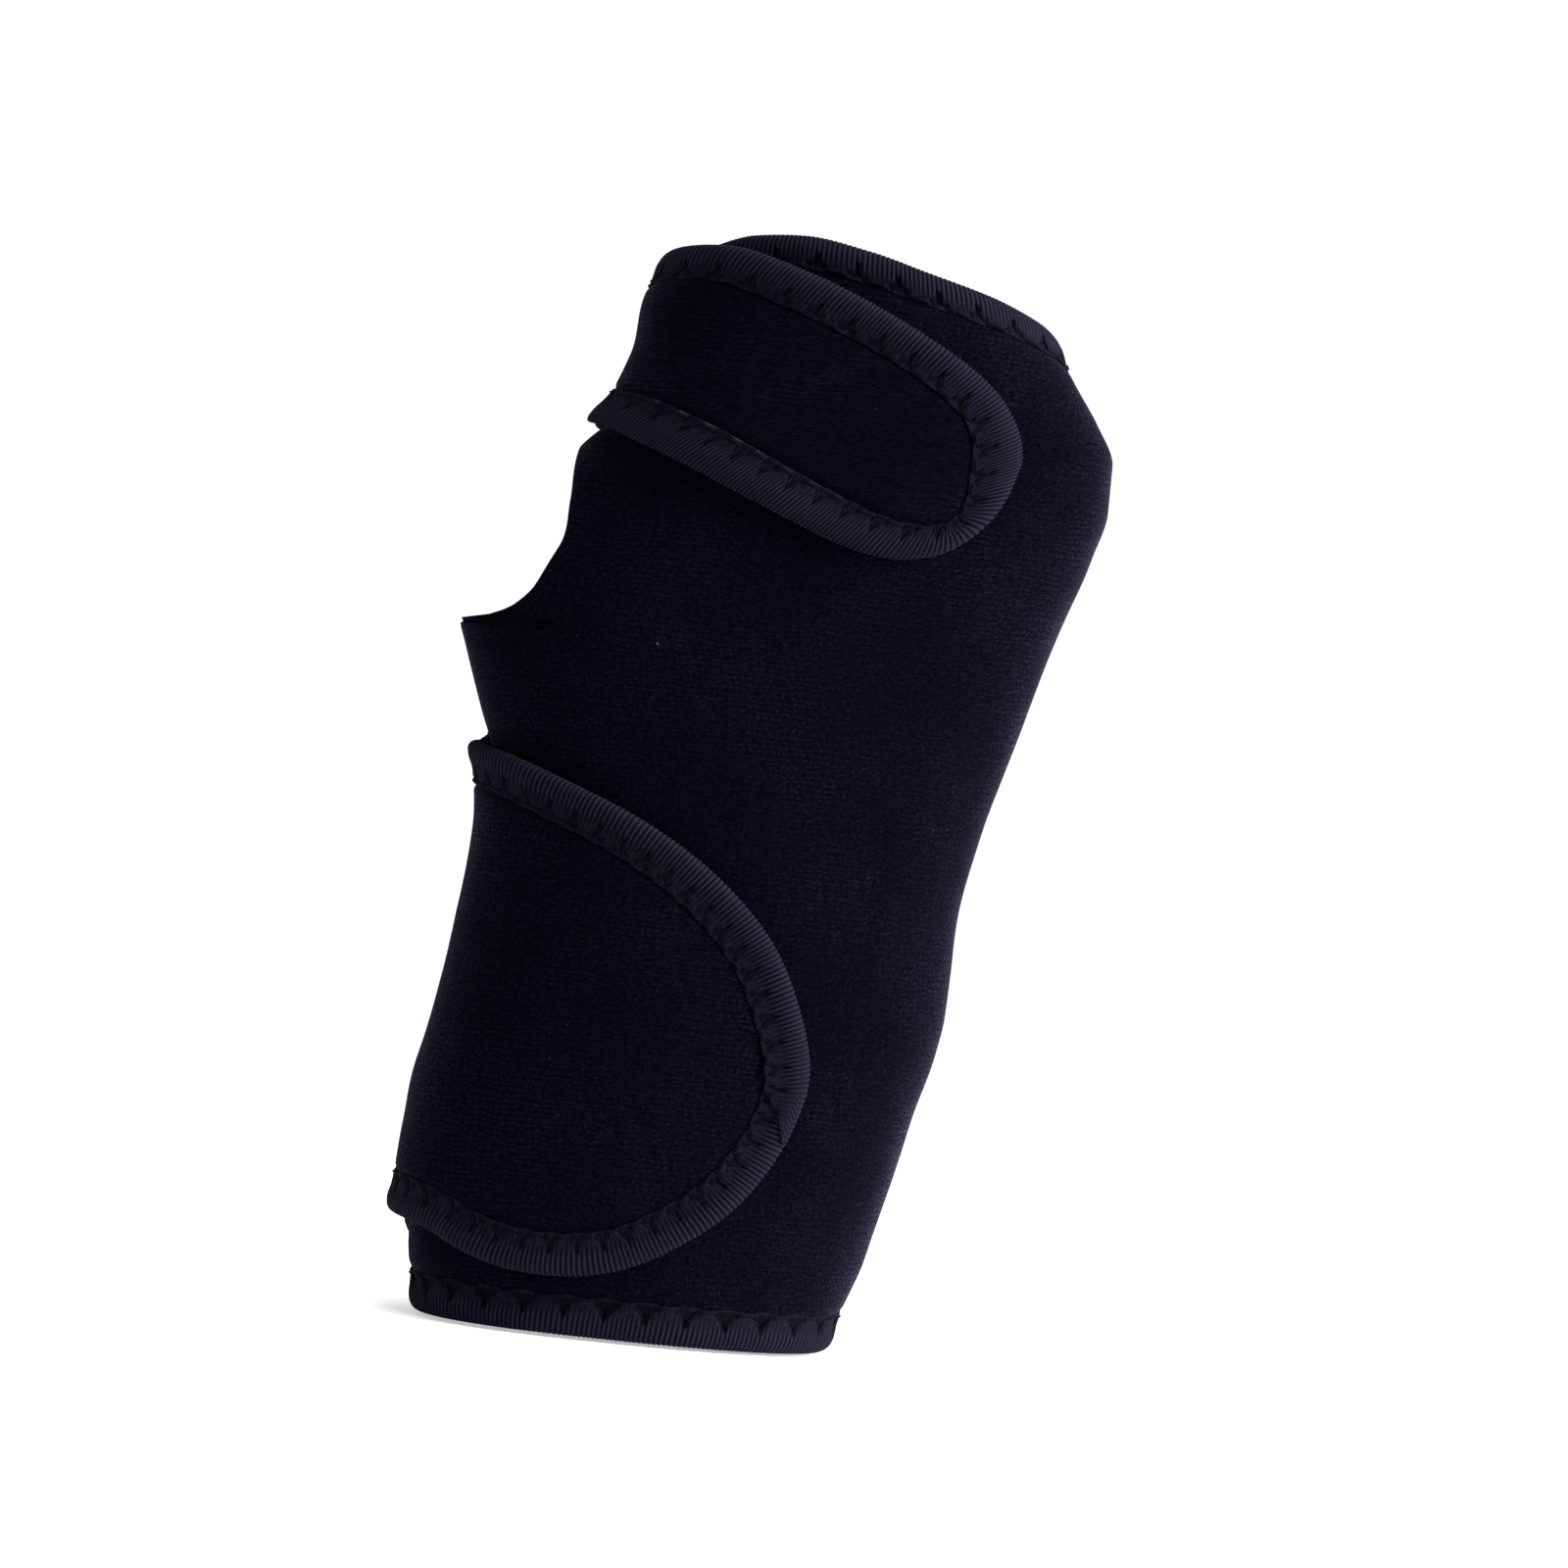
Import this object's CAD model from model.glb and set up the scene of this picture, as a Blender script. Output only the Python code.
"""Looks of a wrist splint, built round its CAD frame.

Lengths are millimetres until a mesh is made. z runs from the forearm opening up to the hand,
x from the thumb side (low) to the little-finger side, y from the back of the hand to the palm.
A place on the worn surface is (arc, z): arc starts at the thumb side and runs over the back,
round the little-finger side and along the palm.
"""

import math

import bmesh
import bpy
import numpy as np
from mathutils import Matrix, Vector


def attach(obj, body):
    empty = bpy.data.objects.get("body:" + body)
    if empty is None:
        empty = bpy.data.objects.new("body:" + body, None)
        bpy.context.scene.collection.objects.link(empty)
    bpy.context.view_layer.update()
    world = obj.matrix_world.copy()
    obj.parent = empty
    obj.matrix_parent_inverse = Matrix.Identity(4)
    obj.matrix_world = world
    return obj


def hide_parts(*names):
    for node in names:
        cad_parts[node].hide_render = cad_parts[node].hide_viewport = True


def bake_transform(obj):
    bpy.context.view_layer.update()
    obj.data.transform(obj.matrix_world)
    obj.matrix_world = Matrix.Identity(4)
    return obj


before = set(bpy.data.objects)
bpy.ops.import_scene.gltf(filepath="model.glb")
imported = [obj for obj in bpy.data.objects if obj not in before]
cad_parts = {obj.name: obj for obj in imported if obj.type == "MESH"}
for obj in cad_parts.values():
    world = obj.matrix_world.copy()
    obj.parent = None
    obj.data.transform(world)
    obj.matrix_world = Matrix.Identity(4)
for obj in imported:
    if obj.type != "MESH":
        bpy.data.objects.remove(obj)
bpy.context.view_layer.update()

MM = 0.001
CENTRE = np.array([12.67556522, -0.45970969, 0.0])   # the scene's origin

# ----------------------------------------------------------------------------- dimensions
SHEET_T, TAPE_T, GAP = 2.7, 0.55, 0.35
LIP = GAP + TAPE_T       # the tape's fold stands this far outside the sheet's edge
LAYER = 1.30             # space between the wrap's face and a closure over it

# sides, back and shape of the worn surface: (z, x), (z, x), (z, y), (z, exponent)
THUMB_SIDE = [(-8, -37.0), (0, -37.6), (6, -38.6), (12, -39.4), (20, -39.3), (40, -37.8),
              (55, -35.1), (70, -33.1), (86, -32.0), (96, -32.8), (101, -34.2), (106, -36.2),
              (112, -38.3), (118, -40.2), (123, -41.6), (131, -38.4), (142, -32.6),
              (151, -26.9), (156, -22.9), (160, -18.9), (165, -15.4), (172, -12.9),
              (180, -10.9), (190, -7.0), (200, -4.0), (210, -2.0)]
LITTLE_SIDE = [(-8, 34.0), (0, 35.4), (8, 37.6), (16, 40.2), (30, 43.6), (45, 47.0),
               (54, 49.3), (61, 50.5), (82, 51.3), (94, 53.4), (112, 58.3), (130, 63.3),
               (144, 67.8), (153, 70.0), (161, 69.9), (168, 66.4), (176, 61.0), (184, 56.6),
               (192, 53.6), (200, 52.0), (210, 51.0)]
BACK_FACE = [(-8, -28.6), (0, -28.6), (30, -28.2), (60, -26.4), (90, -24.8), (120, -24.4),
             (150, -22.8), (175, -20.2), (200, -17.6), (210, -17.0)]
PALM_FACE = 27.0
ROUNDNESS = [(-8, 2.2), (0, 2.2), (90, 2.3), (150, 2.55), (210, 2.6)]

# rim of the hand opening: (x, z) over the back and over the palm, and z at the two sides
RIM_BACK = [(-5.2, 192.4), (1.3, 194.3), (11.0, 194.9), (23.4, 193.2), (34.5, 190.5),
            (46.0, 187.7), (52.5, 185.2)]
RIM_PALM = [(48.0, 180.4), (30.0, 180.8), (12.0, 184.4), (-3.0, 188.6)]
RIM_LITTLE, RIM_THUMB = 182.6, 190.8
RIM_LEVEL = 188.0        # z at which the rim's x is turned into arc
RIM_LIFT = 1.5
HAND_ROW = 195           # the hand opening's row in the wrap's chart

# widths of the folded tapes, from the fold to the stitched edge
W_FINGER_RIM, W_FOREARM_RIM, W_FLAP, W_STRAP, W_PALM_EDGE = 5.8, 7.0, 7.4, 6.3, 6.3

# closures: arc of the root, lap of the wrap past it, z of the root's ends, outline as (x, z)
FLAP_ROOT, STRAP_ROOT = -9.0, -7.0
FLAP_LAP, STRAP_LAP = 5.0, 3.0
SLIT = 1.0
FLAP_TOP, FLAP_BOTTOM = 101.3, 17.0
FLAP_EDGE = [(-34.5, 100.3), (-21.0, 95.9), (-6.6, 90.8), (7.0, 83.2), (18.4, 73.2),
             (24.9, 61.7), (28.4, 50.5), (27.8, 43.6), (24.0, 33.6), (16.3, 22.9), (3.0, 13.9),
             (-8.0, 10.4), (-21.3, 10.2), (-31.0, 12.8), (-38.0, 16.4)]
STRAP_TOP, STRAP_BOTTOM = 190.3, 159.6
STRAP_EDGE = [(-6.5, 191.9), (0.6, 191.6), (7.7, 189.7), (18.8, 186.2), (28.6, 182.2),
              (37.2, 178.1), (44.3, 174.1), (49.6, 169.8), (53.2, 163.6), (53.7, 156.8),
              (51.4, 150.7), (47.3, 145.6), (42.3, 141.8), (35.8, 139.9), (29.0, 140.0),
              (22.3, 141.7), (15.3, 144.3), (4.8, 148.5), (-5.7, 152.8), (-16.1, 156.6),
              (-21.0, 158.6)]

# thumb opening: (z, x) of its edge on the back, (z, arc cut away) on the palm
THUMB_CUT_BACK = [(123.6, -36.0), (126.0, -31.9), (129.1, -29.3), (136.2, -25.9),
                  (144.6, -24.8), (150.0, -24.7), (153.5, -24.2)]
THUMB_CUT_PALM = [(-8, 0), (100.8, 0), (103, 2.0), (107, 6.3), (114, 15), (122, 22.5),
                  (134, 28), (146, 25), (153.2, 14.5), (157.6, 5.4), (159.5, 1.2), (160.6, 0),
                  (210, 0)]

STAY_LEAN = math.radians(8.3)
STAY_FOOT = (2.0, 20.5)  # (x, z)
STAY_T = 1.6
TIP_WALL, TIP_CLEAR = 0.5, 0.25
TIP_T = STAY_T + 2 * (TIP_WALL + TIP_CLEAR)
POCKET_SLACK = 1.2
POCKET_T = 1.2


# ----------------------------------------------------------------------------- curves
def through(points):
    """A monotone cubic through (at, value) points, as a function."""
    knots, values = np.array(points, float).T
    width, slope = np.diff(knots), np.diff(values) / np.diff(knots)
    tangent = np.zeros(len(knots))
    for i in range(1, len(knots) - 1):
        if slope[i - 1] * slope[i] > 0:
            before, after = 2 * width[i] + width[i - 1], width[i] + 2 * width[i - 1]
            tangent[i] = (before + after) / (before / slope[i - 1] + after / slope[i])
    tangent[0], tangent[-1] = slope[0], slope[-1]

    def curve(at):
        at = np.clip(np.asarray(at, float), knots[0], knots[-1])
        i = np.clip(np.searchsorted(knots, at, side="right") - 1, 0, len(knots) - 2)
        part = (at - knots[i]) / width[i]
        rest = 1 - part
        return ((1 + 2 * part) * rest ** 2 * values[i]
                + part * rest ** 2 * width[i] * tangent[i]
                + part * part * (3 - 2 * part) * values[i + 1]
                + part * part * (part - 1) * width[i] * tangent[i + 1])

    return curve


def ease(value, start, end):
    """Smooth step from 0 at start to 1 at end; start may be the larger."""
    part = np.clip((np.asarray(value, float) - start) / (end - start), 0, 1)
    return part * part * (3 - 2 * part)


def signed_power(value, power):
    return np.sign(value) * np.abs(value) ** power


def distances(points):
    """Length along a line at each of its points."""
    return np.concatenate([[0], np.cumsum(np.linalg.norm(np.diff(points, axis=0), axis=1))])


def sample(at, dist, points):
    """Points interpolated at lengths along a line."""
    return np.stack([np.interp(at, dist, column) for column in points.T], -1)


def unit(vectors, least=0.0):
    return vectors / (np.linalg.norm(vectors, axis=1)[:, None] + least)


def right_of(heading):
    return np.stack([heading[:, 1], -heading[:, 0]], 1)


def rounded(points, step, passes):
    """A line with its corners cut passes times, resampled at about step."""
    line = np.array(points, float)
    for _ in range(passes):
        cut = [line[0]]
        for here, there in zip(line[:-1], line[1:]):
            cut += [0.75 * here + 0.25 * there, 0.25 * here + 0.75 * there]
        line = np.array(cut + [line[-1]])
    dist = distances(line)
    count = max(2, int(round(dist[-1] / step)) + 1)
    return sample(np.linspace(0, dist[-1], count), dist, line)


# ----------------------------------------------------------------------------- worn surface
thumb_x, little_x = through(THUMB_SIDE), through(LITTLE_SIDE)
back_y, roundness = through(BACK_FACE), through(ROUNDNESS)
Z_ROWS = np.arange(-8.0, 210.5, 1.0)
FRACTIONS = np.linspace(-0.3, 1.3, 1281)


def oval(turn, z):
    """Section of the worn surface at z; turn goes from 0 to 1 once round."""
    power = 2.0 / roundness(z)
    angle = math.pi + 2 * math.pi * turn
    low, high, back = thumb_x(z), little_x(z), back_y(z)
    x = (low + high) / 2 + (high - low) / 2 * signed_power(np.cos(angle), power)
    y = (back + PALM_FACE) / 2 + (PALM_FACE - back) / 2 * signed_power(np.sin(angle), power)
    return x, y


def tabulate():
    """x and y at even fractions of the way round, and the girth, for every row."""
    turn = np.linspace(-0.4, 1.4, 7201)
    xs, ys, girths = [], [], []
    for z in Z_ROWS:
        x, y = oval(turn, z)
        arc = np.concatenate([[0], np.cumsum(np.hypot(np.diff(x), np.diff(y)))])
        arc -= np.interp(0.0, turn, arc)
        once = np.interp(1.0, turn, arc)
        xs.append(np.interp(FRACTIONS * once, arc, x))
        ys.append(np.interp(FRACTIONS * once, arc, y))
        girths.append(once)
    return np.array(xs), np.array(ys), np.array(girths)


TABLE_X, TABLE_Y, GIRTHS = tabulate()
_step_x, _step_y = np.gradient(TABLE_X, axis=1), np.gradient(TABLE_Y, axis=1)
_step = np.hypot(_step_x, _step_y)
NORMAL_X, NORMAL_Y = _step_y / _step, -_step_x / _step


def girth(z):
    return np.interp(z, Z_ROWS, GIRTHS)


def on_wrap(arc, z, off=0.0):
    """Points at (arc, z), raised by off from the worn surface."""
    arc, z, off = np.broadcast_arrays(*(np.asarray(v, float) for v in (arc, z, off)))
    row = np.clip(z - Z_ROWS[0], 0, len(Z_ROWS) - 1.001)
    column = np.clip((arc / girth(z) - FRACTIONS[0]) / (FRACTIONS[1] - FRACTIONS[0]),
                     0, len(FRACTIONS) - 1.001)
    i, j = row.astype(int), column.astype(int)
    up, along = row - i, column - j

    def mix(table):
        return ((1 - up) * (1 - along) * table[i, j] + (1 - up) * along * table[i, j + 1]
                + up * (1 - along) * table[i + 1, j] + up * along * table[i + 1, j + 1])

    out_x, out_y = mix(NORMAL_X), mix(NORMAL_Y)
    size = np.hypot(out_x, out_y)
    return np.stack([mix(TABLE_X) + off * out_x / size, mix(TABLE_Y) + off * out_y / size, z], -1)


LATTICE = np.random.default_rng(7).uniform(-1, 1, (32, 32, 32))


def noise3(points, size):
    """Smooth lattice noise, about -1 to 1, with lumps of about size mm."""
    place = points / size + 400.0
    cell = np.floor(place).astype(int)
    part = place - cell
    part = part * part * part * (part * (6 * part - 15) + 10)
    total = np.zeros(points.shape[:-1])
    for i in (0, 1):
        for j in (0, 1):
            for k in (0, 1):
                weight = (np.where(i, part[..., 0], 1 - part[..., 0])
                          * np.where(j, part[..., 1], 1 - part[..., 1])
                          * np.where(k, part[..., 2], 1 - part[..., 2]))
                total += weight * LATTICE[(cell[..., 0] + i) % 32, (cell[..., 1] + j) % 32,
                                          (cell[..., 2] + k) % 32]
    return total


PILE = 0.35              # brushed pile stands this far over the sheet


def skin(arc, z, off):
    """on_wrap with the soft unevenness of worn fabric, the same for every layer."""
    place = on_wrap(arc, z)
    uneven = 0.38 * noise3(place, 24.0) + 0.16 * noise3(place + 31.0, 9.0)
    return on_wrap(arc, z, off + uneven + PILE)


def arc_at_x(x, z, off):
    """Arc at which the back half, raised by off, reaches x."""
    arc = np.linspace(-2.0, float(girth(z)) * 0.5, 1500)
    reach = on_wrap(arc, z, off)[:, 0]
    first = int(np.argmin(reach))
    return float(np.interp(x, reach[first:], arc[first:]))


def rim_curve():
    """z of the hand opening's rim, by fraction of the way round."""
    once = float(girth(RIM_LEVEL))
    back = [(arc_at_x(x, RIM_LEVEL, 0.0) / once, z) for x, z in RIM_BACK]
    arc = np.linspace(0.5 * once, once, 1500)
    reach = on_wrap(arc, RIM_LEVEL)[:, 0]
    palm = [(float(np.interp(-x, -reach, arc)) / once, z) for x, z in RIM_PALM]
    points = sorted([(0.0, RIM_THUMB), *back, (0.5, RIM_LITTLE), *palm, (1.0, RIM_THUMB)])
    before = [(at - 1, z) for at, z in points[-3:-1]]
    return through(before + points + [(at + 1, z) for at, z in points[1:3]])


rim_at = rim_curve()


def rim_z(arc, z):
    return rim_at(arc / girth(z))


def rim_lift(arc, z):
    return RIM_LIFT * ease(rim_z(arc, z) - z, 19.0, 6.2)


def root_at(z):
    """Arc of the closures' roots."""
    return FLAP_ROOT + (STRAP_ROOT - FLAP_ROOT) * ease(z, 115, 155)


def wrap_end(z):
    """Arc at which the palm side meets the roots, before the thumb opening is cut."""
    return girth(z) + root_at(z) - SLIT


# arc of the wrap's first edge, which laps past the roots and opens round the thumb
back_edge = through(
    [(-8, FLAP_ROOT - SLIT + 0.1), (14.0, FLAP_ROOT - SLIT + 0.1), (19.0, FLAP_ROOT - FLAP_LAP),
     (112.0, FLAP_ROOT - FLAP_LAP), (121.2, -9.6)]
    + [(z, arc_at_x(x, z, 0.0)) for z, x in THUMB_CUT_BACK]
    + [(157.0, -3.8), (162.5, STRAP_ROOT - STRAP_LAP), (210, STRAP_ROOT - STRAP_LAP)])
palm_cut = through(THUMB_CUT_PALM)
CLOSURE_H = LAYER + SHEET_T
closure_step = through([(-8, 0), (7.5, 0), (15.5, CLOSURE_H), (103, CLOSURE_H), (122, 0),
                        (152, 0), (162, CLOSURE_H), (210, CLOSURE_H)])


def palm_edge(z):
    return wrap_end(z) - palm_cut(z)


def wrap_lift(arc, z):
    """Lift of the wrap's face; it rises to the closures' height beside their roots."""
    end = wrap_end(z)
    over = ease(arc, end - 23, end - 10)
    return over * (closure_step(z) + rim_lift(arc - girth(z), z) * (z > 150))


def wrap_inner(arc, z):
    return wrap_lift(arc, z) - SHEET_T


HAND_EDGE = HAND_ROW - LIP
RIM_ROWS_FROM = HAND_EDGE - 11.0   # above this row, rows follow the rim
ROOT_MEAN = -10.0


def wrap_point(across, row, inset=0.0):
    """(arc, z) in the wrap's chart: across is 0 to 1 round it, row is z before the rim's shape."""
    across, row, inset = np.broadcast_arrays(*(np.asarray(v, float) for v in (across, row, inset)))
    z = row.copy()
    near, far = 1 - ease(across, 0.0, 0.30), ease(across, 0.70, 1.0)
    for _ in range(6):
        arc = (ROOT_MEAN + across * (wrap_end(z) - ROOT_MEAN)
               + near * (back_edge(z) - ROOT_MEAN) - far * palm_cut(z))
        z = row + inset + (rim_z(arc, z) - HAND_ROW) * ease(row, 138, RIM_ROWS_FROM)
    return arc, z


# ----------------------------------------------------------------------------- materials
class Nodes:
    """A new material and a short way to write its node tree."""

    def __init__(self, name):
        self.material = bpy.data.materials.new(name)
        self.material.use_nodes = True
        self.tree = self.material.node_tree
        self.shader = self.tree.nodes["Principled BSDF"]

    def put(self, value, socket):
        """Sets a socket to a number or a tuple, or links an output to it."""
        if isinstance(value, (int, float)):
            socket.default_value = value
        elif isinstance(value, tuple):
            socket.default_value = (*value, 1.0)[:len(socket.default_value)]
        else:
            self.tree.links.new(value, socket)

    def new(self, kind, inputs=None, **props):
        node = self.tree.nodes.new(kind)
        for key, value in props.items():
            setattr(node, key, value)
        for key, value in (inputs or {}).items():
            self.put(value, node.inputs[key])
        return node

    def cloth(self):
        return self.new("ShaderNodeAttribute", attribute_name="cloth").outputs["Vector"]

    def place(self):
        return self.new("ShaderNodeTexCoord").outputs["Object"]

    def split(self, vector):
        return self.new("ShaderNodeSeparateXYZ", {0: vector}).outputs

    def math(self, operation, one, two=0.0, three=0.0, clamp=False):
        return self.new("ShaderNodeMath", {0: one, 1: two, 2: three},
                        operation=operation, use_clamp=clamp).outputs[0]

    def times(self, value, by):
        return self.math("MULTIPLY", value, by)

    def times_add(self, value, by, add):
        return self.math("MULTIPLY_ADD", value, by, add)

    def wave(self, at, rate, shift):
        """A sine of at * rate + shift, from 0 to 1."""
        return self.times_add(self.math("SINE", self.times_add(at, rate, shift)), 0.5, 0.5)

    def total(self, *terms):
        """Sum of (value, weight) terms."""
        *parts, result = [self.times(*term) for term in terms]
        for part in reversed(parts):
            result = self.math("ADD", part, result)
        return result

    def noise(self, vector, stretch=None, scale=1.0, detail=2.0, rough=0.5, distortion=0.0):
        if stretch:
            vector = self.new("ShaderNodeVectorMath", {0: vector, 1: stretch},
                              operation="MULTIPLY").outputs[0]
        return self.new("ShaderNodeTexNoise", {
            "Vector": vector, "Scale": scale, "Detail": detail, "Roughness": rough,
            "Distortion": distortion}).outputs["Fac"]

    def span(self, value, over, to=(0.0, 1.0)):
        """value mapped from the range over to the range to."""
        return self.new("ShaderNodeMapRange", {
            "Value": value, "From Min": over[0], "From Max": over[1],
            "To Min": to[0], "To Max": to[1]}).outputs["Result"]

    def blend(self, factor, first, second):
        return self.new("ShaderNodeMix", {0: factor, 6: first, 7: second},
                        data_type="RGBA", clamp_factor=True).outputs[2]

    def bump(self, height, distance, strength):
        node = self.new("ShaderNodeBump", {"Height": height, "Distance": distance,
                                           "Strength": strength})
        self.put(node.outputs[0], self.shader.inputs["Normal"])

    def set(self, **inputs):
        for key, value in inputs.items():
            self.put(value, self.shader.inputs[key.replace("_", " ")])
        return self.material


YARN_DARK = (0.0002, 0.0002, 0.0006)
VIOLET_SHEEN = (0.56, 0.50, 0.80)


def loop_knit():
    """Brushed loop knit: fuzz over short broken courses, near black with navy and violet."""
    mat = Nodes("brushed_loop_knit")
    cloth = mat.cloth()
    arc, z, _ = mat.split(cloth)
    warp = mat.noise(cloth, stretch=(0.22, 0.42, 0.3), detail=3.0, rough=0.6)
    fuzz = mat.noise(cloth, stretch=(1.0, 1.05, 1.0), scale=1.9, detail=5.0, rough=0.82,
                     distortion=0.5)
    fine = mat.noise(cloth, stretch=(1.0, 1.0, 1.0), scale=5.6, detail=3.0, rough=0.70)
    dash = mat.noise(cloth, stretch=(1.15, 1.55, 1.0), scale=1.35, rough=0.62, distortion=0.6)
    rows = mat.wave(z, rate=2 * math.pi / 0.94, shift=mat.times(warp, by=16.0))
    wales = mat.wave(arc, rate=2 * math.pi / 1.35, shift=mat.times(warp, by=22.0))
    worn = mat.span(mat.noise(cloth, stretch=(0.05, 0.04, 0.05), detail=3.0), over=(0.38, 0.64))
    loops = mat.times(rows, mat.times_add(wales, by=0.75, add=0.25))
    loop_share = mat.times_add(worn, by=0.08, add=0.02)
    body = mat.total((fuzz, 0.62), (dash, 0.40), (fine, 0.22))
    height = mat.total((loops, loop_share), (body, 0.78))
    mat.bump(height, distance=0.0008, strength=0.95)
    tint = mat.noise(cloth, stretch=(0.9, 0.9, 0.9), scale=1.3, detail=4.0, rough=0.7)
    dark = mat.blend(mat.span(tint, over=(0.35, 0.65)),
                     (0.0003, 0.0002, 0.0010), (0.0006, 0.0003, 0.0009))
    lit = mat.blend(mat.span(tint, over=(0.4, 0.6)),
                    (0.0064, 0.0060, 0.0160), (0.0092, 0.0067, 0.0133))
    fibre = mat.math("POWER", mat.span(height, over=(0.40, 0.68)), 2.0, clamp=True)
    colour = mat.blend(fibre, dark, lit)
    lint = mat.span(mat.noise(cloth, scale=0.83, detail=0.0), over=(0.926, 0.930))
    colour = mat.blend(mat.times(lint, by=0.3), colour, (0.12, 0.12, 0.15))
    # fibre ends stand off the cloth and light up where it turns away
    facing = mat.new("ShaderNodeLayerWeight", {"Blend": 0.36}).outputs["Facing"]
    rim = mat.math("POWER", facing, 2.2)
    sheen = mat.times(mat.span(fibre, over=(0.0, 0.8), to=(0.12, 1.0)),
                      mat.times_add(rim, by=0.66, add=0.020))
    return mat.set(Base_Color=colour, Roughness=0.95, Specular_IOR_Level=0.006,
                   Sheen_Weight=sheen, Sheen_Roughness=0.30, Sheen_Tint=VIOLET_SHEEN)


def rib_tape():
    """Folded elastic tape: cross ribs, fine yarn lines, soft satin, lighter on the worn fold."""
    mat = Nodes("ribbed_edge_tape")
    cloth = mat.cloth()
    _, inset, rib = mat.split(cloth)
    lines = mat.noise(cloth, stretch=(5.5, 0.9, 0.0), detail=3.0, rough=0.6)
    fine = mat.noise(cloth, stretch=(2.0, 2.0, 0.0), scale=2.2, detail=3.0, rough=0.7)
    mat.bump(mat.total((lines, 0.6), (fine, 0.4)), distance=0.00016, strength=0.8)
    mottle = mat.noise(cloth, stretch=(1.0, 1.0, 0.0), scale=1.5, detail=4.0, rough=0.75,
                       distortion=0.4)
    outer = mat.blend(mat.math("POWER", rib, 1.9, clamp=True),
                      YARN_DARK, (0.0086, 0.0078, 0.0156))
    pits = mat.span(rib, over=(0.15, 0.62))
    inner = mat.blend(mat.times(mat.span(mottle, over=(0.40, 0.64)), pits),
                      YARN_DARK, (0.0052, 0.0046, 0.0104))
    zone = mat.span(mat.times_add(mottle, by=1.6, add=inset), over=(3.1, 4.3))
    base = mat.blend(mat.times(zone, by=0.8), outer, inner)
    worn = mat.times(mat.span(inset, over=(1.6, -0.9)), mat.span(fine, over=(0.4, 0.62)))
    colour = mat.blend(mat.times(worn, by=0.16), base, (0.0135, 0.0120, 0.0225))
    return mat.set(Base_Color=colour,
                   Roughness=mat.span(fine, over=(0.35, 0.65), to=(0.62, 0.8)),
                   Specular_IOR_Level=0.016,
                   Sheen_Weight=mat.span(rib, over=(0.1, 0.8), to=(0.004, 0.026)),
                   Sheen_Roughness=0.35, Sheen_Tint=VIOLET_SHEEN)


def yarn():
    """Spun thread with its twist."""
    mat = Nodes("spun_thread")
    cloth = mat.cloth()
    along, turn, _ = mat.split(cloth)
    twist = mat.wave(along, rate=11.0, shift=mat.times(turn, by=6.283))
    fuzz = mat.noise(cloth, scale=9.0)
    mat.bump(mat.times_add(fuzz, by=0.3, add=mat.times(twist, by=0.7)),
             distance=0.00008, strength=0.9)
    return mat.set(Base_Color=mat.blend(twist, YARN_DARK, (0.0014, 0.0012, 0.0028)),
                   Roughness=0.75, Specular_IOR_Level=0.03, Sheen_Weight=0.012,
                   Sheen_Tint=VIOLET_SHEEN)


def jersey():
    """Smooth fine-gauge lining knit, in V-shaped stitches."""
    mat = Nodes("lining_jersey")
    cloth = mat.cloth()
    arc, z, _ = mat.split(cloth)
    wale_w = 0.75
    ridge = mat.math("ABSOLUTE", mat.math("SINE", mat.times(arc, by=math.pi / wale_w)))
    rows = mat.wave(z, rate=2 * math.pi / 0.62, shift=mat.times(ridge, by=1.6))
    wale = mat.times_add(mat.math("COSINE", mat.times(arc, by=2 * math.pi / wale_w)),
                         by=-0.5, add=0.5)
    fuzz = mat.noise(cloth, scale=3.2, detail=3.0, rough=0.65)
    height = mat.total((rows, 0.4), (wale, 0.35), (fuzz, 0.25))
    mat.bump(height, distance=0.00022, strength=0.8)
    colour = mat.blend(mat.math("POWER", height, 1.6, clamp=True),
                       (0.0005, 0.0004, 0.0013), (0.0044, 0.0038, 0.0082))
    return mat.set(Base_Color=colour, Roughness=0.86, Specular_IOR_Level=0.02,
                   Sheen_Weight=0.03, Sheen_Roughness=0.4, Sheen_Tint=(0.56, 0.51, 0.78))


def foam():
    """Cut edge of the neoprene: fine closed cells."""
    mat = Nodes("cut_neoprene")
    cloth = mat.cloth()
    cell = mat.new("ShaderNodeTexVoronoi", {"Vector": cloth, "Scale": 3.1},
                   feature="F1").outputs["Distance"]
    fine = mat.noise(cloth, scale=4.5, detail=3.0, rough=0.7)
    height = mat.total((cell, 0.8), (fine, 0.4))
    mat.bump(height, distance=0.0003, strength=0.8)
    colour = mat.blend(mat.span(height, over=(0.3, 1.0)),
                       (0.003, 0.003, 0.005), (0.018, 0.0175, 0.024))
    return mat.set(Base_Color=colour, Roughness=0.9, Specular_IOR_Level=0.1)


def hook_tape():
    """Moulded hook strip: satin nylon, dusty between the hooks."""
    mat = Nodes("hook_strip")
    cloth = mat.cloth()
    _, _, tall = mat.split(cloth)
    fine = mat.noise(cloth, scale=1.7, detail=3.0, rough=0.6)
    colour = mat.blend(tall, (0.006, 0.006, 0.007), (0.026, 0.026, 0.030))
    colour = mat.blend(mat.times(mat.span(fine, over=(0.55, 0.75)), by=0.35),
                       colour, (0.05, 0.048, 0.046))
    mat.bump(fine, distance=0.0001, strength=0.5)
    return mat.set(Base_Color=colour, Specular_IOR_Level=0.45,
                   Roughness=mat.span(fine, over=(0.3, 0.7), to=(0.42, 0.62)))


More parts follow.
